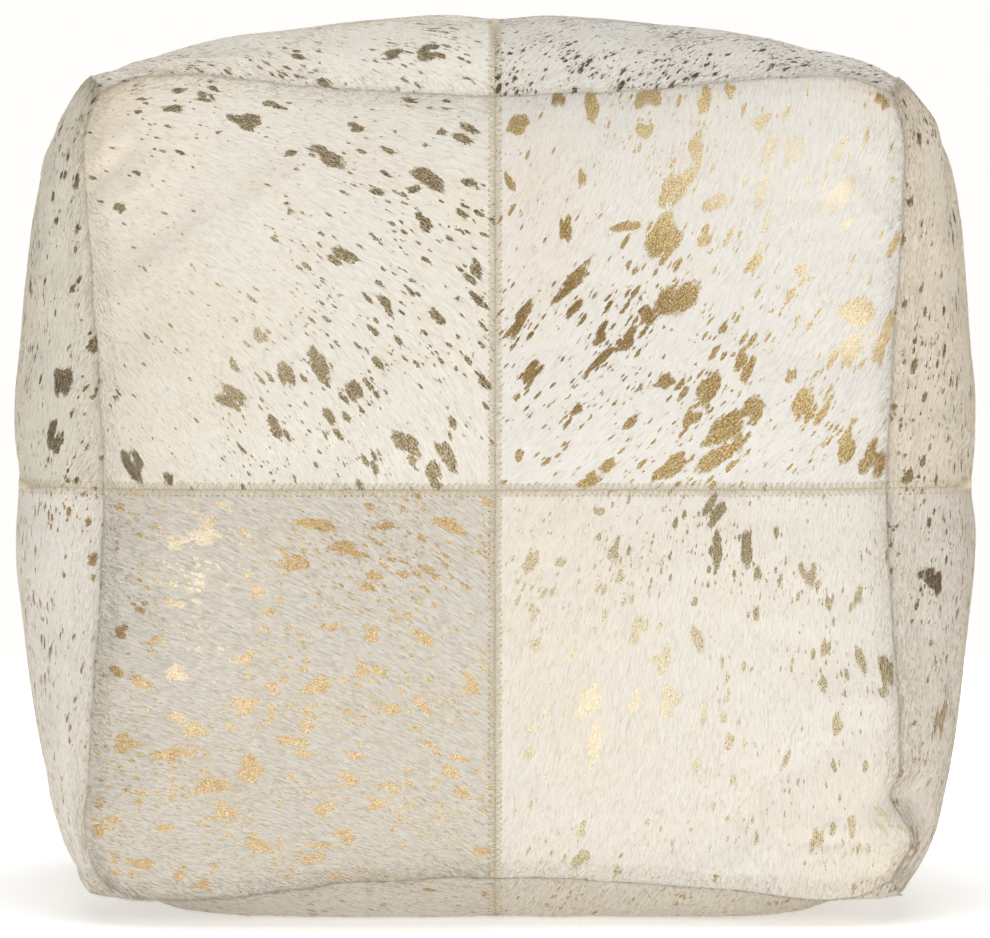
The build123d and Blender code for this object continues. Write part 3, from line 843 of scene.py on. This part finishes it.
LOOKS = {
    "front_upper_left": dict(
        CREAM,
        lay=(-35, -5, 27),
        painted_reflection=(0.35, ((-130, 89, 50, 0.5), (-40, 20, 40, 0.15))),
        warmth=(0.05, ((-180, 180, 50, 0.35), (-190, 60, 60, 0.25), (-10, 150, 30, 0.1))),
        crowd=(0.09, (
            (-60, 160, 45, 0.3), (-55, 60, 60, 0.5), (-25, 120, 40, 0.3), (-110, 50, 40, 0.3),
            (-150, 175, 25, 0.3),
        )),
        blotches=(
            (-150, 188, 9, 4, -5), (-137, 186, 9, 5, -5), (-153, 180, 12, 5, -15), (-120, 177, 18, 8, -5),
            (-104, 186, 10, 5, 0), (-66, 177, 9, 5, -10), (-80, 161, 16, 8, -10), (-96, 161, 8, 4, -5),
            (-33, 152, 17, 9, -32), (-12, 151, 9, 5, -15), (-38, 146, 7, 4, -15), (-34, 133, 13, 8, -45),
            (-71, 112, 15, 7, -40), (-9, 109, 13, 6, -62), (-52, 89, 13, 6, -55), (-29, 84, 11, 5, -50),
            (-179, 133, 8, 5, -30), (-113, 73, 9, 6, -55), (-86, 61, 20, 8, -52), (-100, 54, 15, 7, -55),
            (-68, 48, 12, 8, -60), (-79, 35, 10, 6, -60), (-108, 30, 13, 7, -55), (-44, 24, 18, 10, -50),
            (-24, 17, 17, 8, -60), (-21, 33, 10, 5, -60), (-180, 12, 17, 10, -62), (-161, 6, 9, 5, -60),
            (-127, 59, 8, 5, -55), (-130, 45, 16, 9, -30), (-59, 11, 9, 4, -75), (-30, 7, 13, 8, -60),
        ),
    ),
    "front_upper_right": dict(
        WHITE,
        lay=(60, 6, 16),
        painted_reflection=(0.5, (
            (150, 141, 40, 1.1), (80, 155, 45, 0.35), (178, 70, 30, 0.5), (33, 79, 55, -0.5),
            (110, 40, 40, -0.1),
        )),
        warmth=(-0.05, ((15, 130, 50, 0.35), (190, 190, 30, 0.3), (110, 150, 40, 0.1))),
        crowd=(0.2, (
            (60, 70, 45, 0.55), (90, 180, 45, 0.3), (165, 130, 45, 0.25), (120, 25, 50, 0.4),
            (175, 60, 35, 0.4),
        )),
        blotches=(
            (11, 181, 15, 9, 40), (45, 189, 18, 8, 80), (30, 195, 12, 7, 80), (73, 192, 15, 12, 80),
            (71, 173, 10, 9, 80), (101, 189, 16, 9, 80), (111, 190, 12, 5, 80), (127, 176, 14, 6, 60),
            (137, 179, 9, 4, 60), (94, 163, 18, 8, 75), (87, 145, 20, 14, 70), (82, 122, 22, 16, 70),
            (62, 126, 14, 7, 10), (103, 136, 12, 9, 50), (99, 121, 11, 8, 60), (130, 159, 17, 7, 75),
            (124, 141, 20, 9, 70), (140, 160, 17, 7, 70), (161, 158, 16, 5, 62), (162, 139, 20, 12, 55),
            (128, 125, 13, 4, 75), (124, 108, 14, 6, 60), (34, 127, 13, 6, 85), (7, 151, 12, 5, -75),
            (41, 151, 11, 4, 85), (145, 102, 8, 6, 60), (174, 83, 21, 15, 0), (174, 66, 16, 10, 80),
            (190, 71, 20, 9, 70), (88, 93, 22, 16, 55), (74, 85, 10, 8, 50), (34, 99, 30, 6, 48),
            (13, 85, 26, 6, 52), (38, 88, 9, 6, 60), (50, 75, 12, 7, 50), (63, 73, 12, 8, 50),
            (19, 59, 13, 6, 45), (51, 63, 22, 4, 35), (82, 51, 9, 8, 30), (103, 49, 17, 10, 70),
            (95, 34, 10, 8, 60), (120, 58, 16, 9, 70), (112, 29, 28, 10, 38), (127, 41, 14, 10, 60),
            (150, 41, 17, 11, 70), (110, 15, 22, 11, 35), (87, 11, 20, 9, 35), (54, 11, 11, 6, 35),
            (45, 5, 13, 7, 30), (39, 38, 8, 5, 20), (65, 33, 8, 5, 40), (11, 18, 7, 6, 60),
            (175, 22, 18, 8, 75), (189, 13, 18, 12, 60), (144, 53, 9, 5, 75), (188, 187, 12, 8, 60),
        ),
    ),
    "front_lower_left": dict(
        GREY,
        painted_reflection=(0.65, (
            (-145, -36, 25, 0.9), (-147, -85, 25, 0.6), (-65, -155, 90, 0.15), (-188, -60, 30, -0.6),
            (-60, -18, 40, -0.3),
        )),
        crowd=(0.75, ((-90, -160, 70, 0.35), (-110, -40, 50, 0.1), (-40, -70, 40, 0.15))),
        blotches=(
            (-142, -21, 13, 10, -10), (-156, -26, 10, 7, -10), (-167, -19, 7, 4, -10), (-87, -17, 20, 8, -5),
            (-70, -30, 19, 8, -12), (-97, -36, 14, 7, -15), (-53, -17, 9, 5, -15), (-22, -17, 17, 9, -25),
            (-58, -42, 9, 5, -30), (-62, -47, 7, 5, -30), (-110, -58, 9, 5, -10), (-116, -48, 9, 5, -20),
            (-79, -65, 8, 5, -20), (-59, -71, 9, 6, -30), (-34, -71, 14, 6, -25), (-118, -79, 10, 8, -20),
            (-151, -85, 12, 9, 0), (-183, -67, 9, 7, -20), (-164, -71, 9, 5, -10), (-183, -86, 9, 6, -20),
            (-171, -91, 13, 6, -25), (-84, -93, 15, 8, 0), (-107, -93, 8, 5, 0), (-118, -102, 13, 6, -20),
            (-65, -86, 10, 6, -30), (-54, -88, 8, 5, -30), (-50, -106, 9, 7, -40), (-36, -105, 11, 6, -50),
            (-11, -96, 9, 6, -50), (-154, -108, 13, 6, -5), (-143, -114, 12, 7, 0), (-176, -121, 13, 11, -10),
            (-152, -127, 20, 7, -5), (-88, -113, 9, 6, -20), (-93, -122, 20, 9, -15), (-66, -129, 12, 6, -10),
            (-31, -123, 8, 6, -30), (-17, -131, 10, 5, -20), (-115, -134, 15, 13, -10),
            (-134, -140, 16, 9, -5),
            (-69, -139, 9, 7, -10), (-21, -139, 9, 6, -20), (-52, -144, 11, 4, -5), (-80, -154, 12, 7, 20),
            (-56, -153, 9, 6, -10), (-128, -154, 13, 5, 0), (-71, -167, 11, 9, -20), (-112, -171, 15, 7, -10),
            (-84, -172, 13, 6, 5), (-190, -164, 11, 8, 0), (-180, -157, 9, 5, 0), (-156, -160, 11, 5, -10),
            (-165, -179, 13, 7, -10), (-149, -183, 7, 6, 0), (-85, -182, 12, 8, 0), (-17, -150, 9, 5, -10),
            (-9, -182, 12, 8, 0), (-139, -188, 9, 6, 0),
        ),
    ),
    "front_lower_right": dict(
        IVORY,
        warmth=(0.0, ((30, -100, 60, 0.25), (180, -170, 40, 0.2), (20, -10, 40, 0.2))),
        painted_reflection=(0.55, ((52, -110, 55, 0.6), (108, -28, 35, -0.35), (190, -158, 15, 0.8))),
        crowd=(0.24, ((80, -20, 50, 0.25), (170, -60, 35, 0.3), (30, -60, 30, 0.2), (100, -170, 90, -0.08))),
        blotches=(
            (107, -11, 17, 9, 60), (109, -29, 16, 6, 85), (122, -28, 18, 6, 85), (127, -40, 8, 4, 85),
            (58, -30, 8, 5, 75), (51, -11, 6, 5, 45), (18, -35, 14, 6, 45), (31, -36, 7, 5, 60),
            (61, -42, 8, 4, 70), (97, -71, 16, 6, 90), (68, -68, 14, 7, 70), (19, -61, 7, 4, 60),
            (19, -76, 8, 6, 60), (37, -79, 8, 5, 70), (80, -82, 14, 9, 80), (83, -100, 18, 10, 85),
            (66, -102, 14, 9, 80), (45, -102, 18, 12, 80), (49, -120, 22, 9, 85), (126, -58, 10, 5, 85),
            (142, -33, 6, 3, 85), (149, -37, 8, 4, 85), (154, -41, 12, 5, 88), (163, -54, 9, 4, 85),
            (180, -50, 10, 6, 85), (178, -80, 13, 5, 88), (161, -74, 9, 5, 88), (158, -91, 9, 5, 80),
            (165, -110, 14, 8, 85), (190, -88, 18, 9, 85), (186, -96, 7, 5, 85), (110, -119, 9, 5, 60),
            (138, -128, 12, 4, 80), (95, -131, 8, 4, 80), (99, -110, 12, 3, 85), (16, -130, 8, 5, 50),
            (42, -167, 10, 5, 80), (41, -184, 12, 8, 85), (169, -158, 14, 5, 80), (152, -166, 12, 6, 80),
            (189, -156, 14, 5, -38), (194, -163, 9, 4, -35),
        ),
    ),
    # painted shade: this side patch takes darker hair than its slot, for the light that falls off on the side
    # faces
    "left_upper_right": dict(
        CREAM, lay=(70, 5, 5), hair="E0DACB", shadow="CFC8B8", painted_reflection=(0.2, ()), crowd=(0.55, ()),
        blotches=((182, 50, 16, 12, 80), (178, 24, 14, 8, 80)),
    ),
    "left_lower_right": dict(IVORY, lay=(85, 0, 0), foil="D2AC78", crowd=(0.6, ())),
    # painted shade: this side patch takes darker hair than its slot, for the light that falls off on the side
    # faces
    "right_upper_left": dict(
        CREAM, lay=(80, 0, 0), hair="DED4C3", shadow="CDC2AF", foil="B39C70", crowd=(0.6, ()),
    ),
    "right_lower_left": dict(
        GREY, lay=(80, 0, 0), hair="DDD6CA", shadow="C4BBAC", foil="D2B48C", foil_painted_dark_reflection="6E583C",
        crowd=(0.7, ()), painted_reflection=(0.6, ((-178, -40, 30, -0.7),)),
        blotches=((-178, -44, 16, 14, 70), (-170, -110, 18, 12, 60)),
    ),
    # painted light: this top patch takes paler hair than its slot, for the light that falls on the top
    "top_front_left": dict(
        CREAM, lay=(-30, 0, 0), hair="F4F0E6", shadow="E6E0D4", crowd=(0.6, ()),
        blotches=((-48, -178, 12, 12, 0), (-32, -176, 10, 12, 0)),
    ),
    "top_front_right": dict(
        WHITE, lay=(50, 0, 0), foil="A08C5C", foil_painted_dark_reflection="4E4430", speckle=(6.0, 3.2), crowd=(0.85, ()),
        painted_reflection=(0.2, ()),
    ),
    "base_front_left": dict(GREY, lay=(-20, 0, 0), foil="D8B88A"),
    "base_front_right": dict(GREY, lay=(70, 0, 0), hair="E2DACB", foil="D8BC80"),
}


def spec_of(face, place):
    """A patch's look; those that have no look of their own take their slot's."""
    general = {"hide_cream": CREAM, "hide_white": WHITE, "hide_grey": GREY, "hide_ivory": IVORY}
    key = f"{face}_{place}"
    signs = PATCHES[face][place]
    shared = dict(
        seed=float(sum(map(ord, key)) % 97), middle=(signs[0] * PANEL / 2, signs[1] * PANEL / 2),
        seam="6E6250", band="E6DCC6", stitch="CDBD9C", wear=0.82,
    )
    return {**shared, **LOOKS.get(key, general[SLOTS[place]])}


SLOTS = {
    "upper_left": "hide_cream",
    "upper_right": "hide_white",
    "lower_left": "hide_grey",
    "lower_right": "hide_ivory",
    "rear_left": "hide_grey",
    "rear_right": "hide_ivory",
    "front_left": "hide_cream",
    "front_right": "hide_white",
}


def make_hides():
    for face in FACES:
        for number, place in enumerate(PATCHES[face]):
            spec = spec_of(face, place)
            piece = hide_patch(face, place, spec, seed=int(spec["seed"]) * 7 + number)
            piece.data.materials.append(hide_material(f"hide_{face}_{place}", spec))
            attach(piece, "pouf")
            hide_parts(f"hide_{face}_{place}")


def plain_material(name, light, dark, scale, roughness, metallic=0.0, bump=0.0002):
    """A material from fine mottling, for the pieces inside and the zip."""
    n = Nodes(name)
    place = n.place()
    grain = n.noise(place, scale, 4.0, 0.6)
    share = n.step(grain * 0.7 + n.noise(place, 40.0, 2.0, 0.5) * 0.3, 0.35, 0.65)
    n.put(n.shader.inputs["Base Color"], n.mix(share, srgb(dark), srgb(light)))
    n.put(n.shader.inputs["Roughness"], grain * 0.2 + (roughness - 0.1))
    n.shader.inputs["Metallic"].default_value = metallic
    n.bump(grain, bump, 0.8)
    return n.material


def weave_material(name, light, dark, pitch, roughness):
    """Plain-woven cloth or tape."""
    n = Nodes(name)
    place = n.place()
    x, y, z = (n.math("SINE", way * (math.pi / pitch)) for way in n.split(place))
    weave = abs(x + y + z)
    slub = n.noise(place, 300.0, 3.0, 0.6)
    share = n.math("ADD", slub * 0.6, weave * 0.3, clamp=True)
    n.put(n.shader.inputs["Base Color"], n.mix(share, srgb(dark), srgb(light)))
    n.put(n.shader.inputs["Roughness"], slub * 0.2 + (roughness - 0.1))
    n.bump(weave, 0.0002, 0.6)
    return n.material


def finish_piece(piece, material, slot, *nodes):
    piece.data.materials.append(material)
    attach(piece, "pouf")
    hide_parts(*nodes)


def tube(path, radius, sides):
    """Points and polygons of a closed tube along a path."""
    path = np.asarray(path)
    along = unit(np.gradient(path, axis=0))
    guide = np.array([0.31, 0.52, 0.79])
    first = unit(np.cross(along, guide))
    second = np.cross(along, first)
    turn = np.arange(sides) * 2 * math.pi / sides
    ring = first[:, None] * np.cos(turn)[None, :, None] + second[:, None] * np.sin(turn)[None, :, None]
    points = (path[:, None] + radius * ring).reshape(-1, 3)
    index = np.arange(len(path) * sides).reshape(-1, sides)
    after = np.roll(index, -1, axis=1)
    quads = np.stack([index[:-1], after[:-1], after[1:], index[1:]], -1).reshape(-1, 4)
    caps = np.stack([index[0][::-1], index[-1]])
    return points, quads, caps


# ---------------------------------------------------------------------------------------------
# Thread, seam allowances, backings, bag and filling
# ---------------------------------------------------------------------------------------------

THREAD_RADIUS = 0.00014
ZIGZAG_END = 0.975
STITCH_SHAPE = ((0.0, -0.0006), (0.12, 0.0), (0.3, 0.00025), (0.5, 0.0003), (0.7, 0.00025), (0.88, 0.0))


def zigzag_path(face, start, end, along_u):
    """The thread's path along a middle seam, dipping into a hole at each turn."""
    count = int((end - start) * EDGE / (PITCH / 2))
    leg = (end - start) / count
    ride = np.array([(k + t) for k in range(count) for t, _ in STITCH_SHAPE])
    height = np.array([h for _ in range(count) for _, h in STITCH_SHAPE]) - PRESSED_DEPTH
    along = start + leg * ride
    swing = np.abs((ride % 2) - 1) * 2 - 1
    across = swing * HOLE_ROW
    lines = np.array([-1.5, -0.5, 0.5, 1.5]) * HOLE_ROW * 1.2 / EDGE
    if along_u:
        grid, gaps = skin(face, along, lines).swapaxes(0, 1), lines
        first, second = np.gradient(grid, axis=1), np.gradient(grid, axis=0)
    else:
        grid, gaps = skin(face, lines, along), lines
        first, second = np.gradient(grid, axis=0), np.gradient(grid, axis=1)
    normal = unit(np.cross(first, second))
    place = np.clip((across / EDGE - gaps[0]) / (gaps[1] - gaps[0]), 0, 2.999)
    low = place.astype(int)
    share = (place - low)[:, None]
    step = np.arange(len(along))
    points = grid[low, step] * (1 - share) + grid[low + 1, step] * share
    out = normal[low, step] * (1 - share) + normal[low + 1, step] * share
    return points + out * height[:, None]


def joined(parts):
    """Several meshes as one: their points, and each kind of polygon."""
    starts = np.cumsum([0] + [len(part[0]) for part in parts])
    kinds = zip(*[[polygons + start for polygons in part[1:]] for part, start in zip(parts, starts)])
    return np.concatenate([part[0] for part in parts]), [np.concatenate(kind) for kind in kinds]


def make_stitching(face, material):
    lines = [(-ZIGZAG_END, ZIGZAG_END, False), (-ZIGZAG_END, ZIGZAG_END, True)]
    if face == "base":
        gap = (SLOT_HALF + 0.002) / EDGE
        lines = [(-ZIGZAG_END, -gap, False), (gap, ZIGZAG_END, False)]
    parts = []
    for line in lines:
        path = zigzag_path(face, *line)
        if face == "base":
            path[:, 2] = np.maximum(path[:, 2], 0.0003)
        parts.append(tube(path, THREAD_RADIUS, 6))
    piece = mesh_object(f"zigzag_{face}", *joined(parts))
    finish_piece(piece, material, "thread", f"stitching_{face}")


BACKING_DEPTH = HIDE + 0.0020
BACKING_THICKNESS = 0.001


def make_backing(face, material):
    """The cotton panel under a face's hides, in two halves on the base, one each side of the zip."""
    reach = 0.965
    row = np.linspace(-reach, reach, 41)
    halves = [row]
    if face == "base":
        gap = (SLOT_HALF + 0.001) / EDGE
        halves = [np.linspace(-reach, -gap, 20), np.linspace(gap, reach, 20)]
    parts = []
    for rows in halves:
        grid = skin(face, row, rows)
        normal = unit(np.cross(np.gradient(grid, axis=0), np.gradient(grid, axis=1)))
        outer, inner = (grid - depth * normal for depth in (BACKING_DEPTH, BACKING_DEPTH + BACKING_THICKNESS))
        if face == "base":
            outer[..., 2] = np.maximum(outer[..., 2], BACKING_DEPTH)
            inner[..., 2] = np.maximum(inner[..., 2], BACKING_DEPTH + BACKING_THICKNESS)
        parts.append(thick_sheet(outer, inner))
    piece = mesh_object(f"cotton_{face}", *joined(parts))
    finish_piece(piece, material, "cotton", f"backing_{face}")


EDGE_SEAMS = [
    ("top", "front"), ("top", "back"), ("top", "left"), ("top", "right"),
    ("base", "front"), ("base", "back"), ("base", "left"), ("base", "right"),
    ("front", "left"), ("front", "right"), ("back", "left"), ("back", "right"),
]
WELT_DEPTH = 0.0065
WELT_PLY = 0.0013


def make_edge_seam(first, second, material):
    """The turned allowance inside a cube edge: two plies of hide stitched face to face."""
    normals = [AXES[f][2] for f in (first, second)]
    t = np.linspace(-0.93, 0.93, 90)
    a, b, n = AXES[first]
    side_u, side_v = float(np.dot(normals[1], a)), float(np.dot(normals[1], b))
    row_u = t if side_u == 0 else np.array([side_u])
    row_v = t if side_v == 0 else np.array([side_v])
    line = skin(first, row_u, row_v).reshape(-1, 3)
    inward = -(normals[0] + normals[1]) / math.sqrt(2)
    apart = (normals[0] - normals[1]) / math.sqrt(2)
    wave = 0.0004 * np.sin(np.arange(len(t)) * 0.9)[:, None] * apart
    parts = []
    for side in (-1, 1):
        levels = ROLL_DEPTH + HIDE + 0.0003 + np.linspace(0, WELT_DEPTH, 5)
        near = np.stack([line + depth * inward + side * 0.00008 * apart for depth in levels], 1)
        far = near + side * WELT_PLY * apart
        near[:, -2:] += wave[:, None]
        far[:, -2:] += wave[:, None]
        for grid in (near, far):
            grid[..., 2] = np.maximum(grid[..., 2], 0.0022)
        parts.append(thick_sheet(*((near, far) if side > 0 else (far, near))))
    piece = mesh_object(f"allowance_{first}_{second}", *joined(parts))
    finish_piece(piece, material, "seam_allowance", f"edge_seam_{first}_{second}")


BAG_SCALE = 0.945
BAG_PLY = 0.0008
FILL_SCALE = 0.938


def blown_cube(scale, cells=30):
    """A smaller copy of the whole skin, without its small wrinkles."""
    points, quads, _ = cube_grid(cells, 1.0)
    points = round_corners(points) * scale
    return points + [0, 0, CENTRE[2]], quads


def make_inside(cotton, beads):
    points, quads = blown_cube(BAG_SCALE)
    middle = np.array([0, 0, CENTRE[2]])
    points[:, 2] = np.maximum(points[:, 2], 0.0105)
    inner = points - BAG_PLY * unit(points - middle)
    bag = mesh_object("cotton_bag", *joined([(points, quads), (inner, quads[:, ::-1])]))
    finish_piece(bag, cotton, "cotton", "inner_bag")
    points, quads = blown_cube(FILL_SCALE)
    points[:, 2] = np.maximum(points[:, 2], 0.0125)
    rng = np.random.default_rng(11)
    points += rng.normal(0, 0.0003, points.shape)
    filling = mesh_object("loose_beads", points, quads)
    finish_piece(filling, beads, "beads", "bead_filling")


# ---------------------------------------------------------------------------------------------
# The zip
# ---------------------------------------------------------------------------------------------

def make_tape(name, material):
    """A zip tape with fine ribs across, and a slow wave that grows away from the zip's middle."""
    low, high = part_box(f"zip_tape_{name}")
    x = np.linspace(low.x, high.x, 260)
    y = np.linspace(low.y, high.y, 14)
    grid_x, grid_y = np.meshgrid(x, y, indexing="ij")
    ripple = 0.00006 * np.sin(grid_x * 2600) + 0.0001 * np.sin(grid_x * 55) * np.abs(grid_y) / 0.014
    outer = np.stack([grid_x, grid_y, np.full_like(grid_x, high.z - 0.00015) + ripple], -1)
    inner = np.stack([grid_x, grid_y, np.full_like(grid_x, low.z + 0.00015) + ripple], -1)
    points, quads = thick_sheet(outer, inner)
    piece = mesh_object(f"tape_{name}", points, quads)
    finish_piece(piece, material, "zip_tape", f"zip_tape_{name}")


def make_coil(name, material):
    """One nylon coil: a flattened helix that runs the length of the zip."""
    low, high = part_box(f"zip_coil_{name}")
    wire = 0.00028
    pitch = 0.0014
    turns = int((high.x - low.x - 2 * wire) / pitch)
    steps = 10
    t = np.arange(turns * steps + 1) / steps
    x = low.x + wire + t / turns * (high.x - low.x - 2 * wire)
    y = (low.y + high.y) / 2 + ((high.y - low.y) / 2 - wire) * np.cos(2 * math.pi * t)
    z = (low.z + high.z) / 2 + ((high.z - low.z) / 2 - wire) * np.sin(2 * math.pi * t)
    points, quads, caps = tube(np.stack([x, y, z], -1), wire, 6)
    piece = mesh_object(f"coil_{name}", points, [quads, caps])
    finish_piece(piece, material, "zip_nylon", f"zip_coil_{name}")


def make_all():
    make_hides()
    thread = plain_material("thread", "E9DFCC", "CFC0A2", 900, 0.8)
    cotton = weave_material("cotton_cloth", "E8E2D2", "CFC7B2", 0.0009, 0.85)
    suede = plain_material("suede", "CDB996", "A08A66", 700, 0.9, bump=0.0004)
    beads = plain_material("beads", "F4F4F2", "D8D8D6", 350, 0.6, bump=0.0012)
    tape = weave_material("tape_weave", "D2C6AC", "A99C80", 0.0005, 0.8)
    nylon = plain_material("nylon", "CDBF9F", "B3A583", 500, 0.35)
    brass = plain_material("antique_brass", "B5935A", "6E5634", 260, 0.35, metallic=1.0, bump=0.00005)
    for face in FACES:
        make_stitching(face, thread)
        make_backing(face, cotton)
    for pair in EDGE_SEAMS:
        make_edge_seam(*pair, suede)
    make_inside(cotton, beads)
    for name in ("front", "rear"):
        make_tape(name, tape)
        make_coil(name, nylon)
    for name in ("zip_slider", "zip_pull_tab", "zip_stops"):
        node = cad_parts[name]
        node.data.materials.clear()
        node.data.materials.append(brass)


make_all()

# ---------------------------------------------------------------------------------------------
# Studio
# ---------------------------------------------------------------------------------------------

CAMERA_DISTANCE = 2.5  # from the front face's seams
CAMERA_RISE = 0.049  # over the face's centre
FLOOR_RADIUS = 2.4
FLOOR_FADE = (0.24, 0.44)  # the paper whitens between these distances
FLOOR_SIDES = 96
FLOOR_GLOW = (0.36, 0.34)  # near the pouf, and what the far paper adds
LENS = 181.8
CAMERA_TILT = 0.905  # degrees down


def make_camera():
    data = bpy.data.cameras.new("camera")
    data.lens = LENS
    data.sensor_width = 36
    data.clip_end = 100
    camera = bpy.data.objects.new("camera", data)
    bpy.context.scene.collection.objects.link(camera)
    camera.location = (0, -EDGE - CAMERA_DISTANCE, CENTRE[2] + CAMERA_RISE)
    camera.rotation_euler = (math.radians(90 - CAMERA_TILT), 0, 0)
    bpy.context.scene.camera = camera


def area_light(name, azimuth, distance, height, size, power):
    """A softbox seen from the pouf at an azimuth from the camera's side, turned to the pouf."""
    angle = math.radians(azimuth)
    place = np.array([math.sin(angle) * distance, -math.cos(angle) * distance, height])
    way = np.array([0, 0, 0.25]) - place
    data = bpy.data.lights.new(name, "AREA")
    data.shape = "RECTANGLE"
    data.size, data.size_y = size
    data.energy = power
    light = bpy.data.objects.new(name, data)
    light.visible_camera = False
    bpy.context.scene.collection.objects.link(light)
    light.location = place
    yaw = math.atan2(way[1], way[0]) - math.pi / 2
    pitch = math.atan2(way[2], math.hypot(way[0], way[1])) + math.pi / 2
    light.rotation_euler = (pitch, 0, yaw)


def make_world():
    """White behind the pouf, soft grey light from all round, and a dim room in the foil's reflections."""
    world = bpy.data.worlds.new("studio")
    bpy.context.scene.world = world
    world.use_nodes = True
    nodes, links = world.node_tree.nodes, world.node_tree.links
    background = nodes["Background"]
    background.inputs["Color"].default_value = (1.0, 0.99, 0.97, 1)
    rays = nodes.new("ShaderNodeLightPath")
    level = nodes.new("ShaderNodeMapRange")
    links.new(rays.outputs["Is Camera Ray"], level.inputs["Value"])
    level.inputs["To Min"].default_value = 0.27
    level.inputs["To Max"].default_value = 1.0
    dim = nodes.new("ShaderNodeMath")
    dim.operation = "MULTIPLY_ADD"
    links.new(rays.outputs["Is Glossy Ray"], dim.inputs[0])
    dim.inputs[1].default_value = -0.16
    links.new(level.outputs["Result"], dim.inputs[2])
    links.new(dim.outputs[0], background.inputs["Strength"])


def make_studio():
    turn = np.linspace(0, 2 * math.pi, FLOOR_SIDES, endpoint=False)
    under = np.full(FLOOR_SIDES, -0.0005)
    rim = np.stack([FLOOR_RADIUS * np.cos(turn), FLOOR_RADIUS * np.sin(turn), under], -1)
    floor = mesh_object("floor", rim, np.arange(FLOOR_SIDES)[None])
    paper = Nodes("floor_paper")
    grain = paper.noise(paper.place(), 3.0)
    paper.put(paper.shader.inputs["Base Color"], paper.mix(grain, srgb("F4F4F4"), srgb("F8F8F8")))
    paper.shader.inputs["Roughness"].default_value = 0.9
    paper.shader.inputs["Emission Color"].default_value = (1, 1, 1, 1)
    distance = paper.add("ShaderNodeVectorMath", operation="LENGTH")
    paper.put(distance.inputs[0], paper.place())
    far = paper.step(Value(paper, distance.outputs["Value"]), *FLOOR_FADE)
    paper.put(paper.shader.inputs["Emission Strength"], far * FLOOR_GLOW[1] + FLOOR_GLOW[0])
    floor.data.materials.append(paper.material)
    make_world()
    area_light("softbox_left", -31, 2.7, 0.75, (0.3, 1.5), 10.6)
    area_light("softbox_right", 38, 2.7, 0.75, (0.8, 1.5), 14.4)
    area_light("overhead", 0, 0.7, 2.3, (2.2, 1.6), 22)
    area_light("softbox_rear", 180, 2.4, 1.6, (2.0, 1.5), 20)
    bpy.context.scene.view_settings.view_transform = "Standard"


make_camera()
make_studio()
